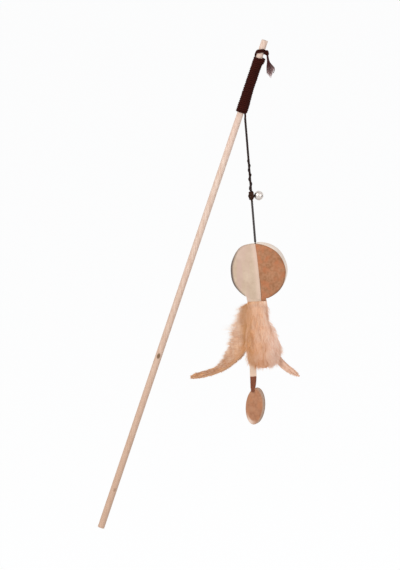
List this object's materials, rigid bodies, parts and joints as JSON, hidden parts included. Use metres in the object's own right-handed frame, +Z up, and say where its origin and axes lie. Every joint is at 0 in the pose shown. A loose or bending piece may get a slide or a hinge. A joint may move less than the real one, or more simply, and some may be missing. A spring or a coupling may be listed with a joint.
{
  "type": "cat teaser wand",
  "caption": "Wooden rod with a cord wound on its tip; the cord carries a small bell and a two-tone leather disc with feathers and an oval tag, to dangle before a cat.",
  "frame": {"origin": "centre of the rod's butt end, where a hand or a holder carries it", "axes": "+Z up against gravity as the lure hangs, +X the way the rod leans, -Y the front of the lure"},
  "size_m": [0.2057, 0.0277, 0.4625],
  "materials": {
    "rod_wood": "matte",
    "cord_brown": "matte",
    "cord_fray": "matte",
    "nickel": "satin",
    "steel": "satin",
    "leather_cream": "matte",
    "leather_brown": "matte",
    "leather_white": "matte",
    "stuffing_wool": "matte",
    "plug_felt": "matte",
    "quill": "satin",
    "feather_buff": "matte",
    "feather_pale": "matte",
    "down_peach": "matte",
    "strap_cream": "matte",
    "tie_brown": "matte",
    "tag_brown": "matte",
    "tag_edge": "matte"
  },
  "bodies": {
    "wand": {"wand_rod": "rod_wood", "tip_winding": "cord_brown", "hitch_knot": "cord_brown"},
    "tail_end": {"tail_cord": "cord_brown", "tail_fray": "cord_fray"},
    "hanging_cord": {"upper_cord": "cord_brown", "cord_tail_twist": "cord_brown", "bell_knot": "cord_brown", "bell_tie": "cord_brown"},
    "bell": {"bell_cap": "nickel", "bell_bowl": "nickel", "bell_ring": "nickel"},
    "pellet": {"bell_pellet": "steel"},
    "lure_cord": {"lower_cord": "cord_brown"},
    "lure": {"front_cover_cream": "leather_cream", "front_cover_brown": "leather_brown", "back_cover_cream": "leather_cream", "back_cover_brown": "leather_brown", "rim_band": "leather_white", "stuffing": "stuffing_wool", "anchor_knot": "cord_brown", "anchor_cord": "cord_brown", "neck_plug": "plug_felt", "quill_roots": "quill", "strap_root": "strap_cream"},
    "left_feather": {"left_quill": "quill", "left_plume": "feather_buff"},
    "right_feather": {"right_quill": "quill", "right_vane": "feather_pale", "right_down": "down_peach"},
    "strap": {"tag_strap": "strap_cream", "tag_tie": "tie_brown"},
    "tag": {"tag_front": "tag_brown", "tag_back": "tag_brown", "tag_core": "tag_edge"}
  },
  "joints": [
    {"name": "cord_swing", "type": "hinge", "parent": "wand", "child": "hanging_cord", "pos_m": [0.17043, 0, 0.38636], "axis": [0, -1, 0], "range_deg": [-3, 110]},
    {"name": "bell_swing", "type": "hinge", "parent": "hanging_cord", "child": "bell", "pos_m": [0.17078, 0, 0.31046], "axis": [0, -1, 0], "range_deg": [-30, 15], "stiffness_Nm_per_rad": 0.004},
    {"name": "pellet_rattle", "type": "slide", "parent": "bell", "child": "pellet", "axis": [0, 0, 1], "range_m": [0, 0.0045]},
    {"name": "cord_sway", "type": "hinge", "parent": "hanging_cord", "child": "lure_cord", "pos_m": [0.17043, 0, 0.30556], "axis": [1, 0, 0], "range_deg": [-75, 75]},
    {"name": "lure_spin", "type": "hinge", "parent": "lure_cord", "child": "lure", "pos_m": [0.17043, 0, 0.26486], "axis": [0, 0, 1], "continuous": true},
    {"name": "left_feather_bend", "type": "hinge", "parent": "lure", "child": "left_feather", "pos_m": [0.1683, 0.00231, 0.20621], "axis": [-0.1736, -0.9848, 0], "range_deg": [-8, 8], "stiffness_Nm_per_rad": 0.03},
    {"name": "right_feather_bend", "type": "hinge", "parent": "lure", "child": "right_feather", "pos_m": [0.16912, -0.0017, 0.20621], "axis": [-0.1736, -0.9848, 0], "range_deg": [-8, 8], "stiffness_Nm_per_rad": 0.03},
    {"name": "strap_swing", "type": "hinge", "parent": "lure", "child": "strap", "pos_m": [0.16246, 0.00141, 0.20416], "axis": [-0.1736, -0.9848, 0], "range_deg": [-8, 8]},
    {"name": "tag_swing", "type": "hinge", "parent": "strap", "child": "tag", "pos_m": [0.15784, 0.00222, 0.12289], "axis": [-0.1736, -0.9848, 0], "range_deg": [-25, 25]},
    {"name": "tail_swing", "type": "hinge", "parent": "wand", "child": "tail_end", "pos_m": [0.19744, -0.00125, 0.44622], "axis": [0, -1, 0], "range_deg": [-5, 60]}
  ]
}
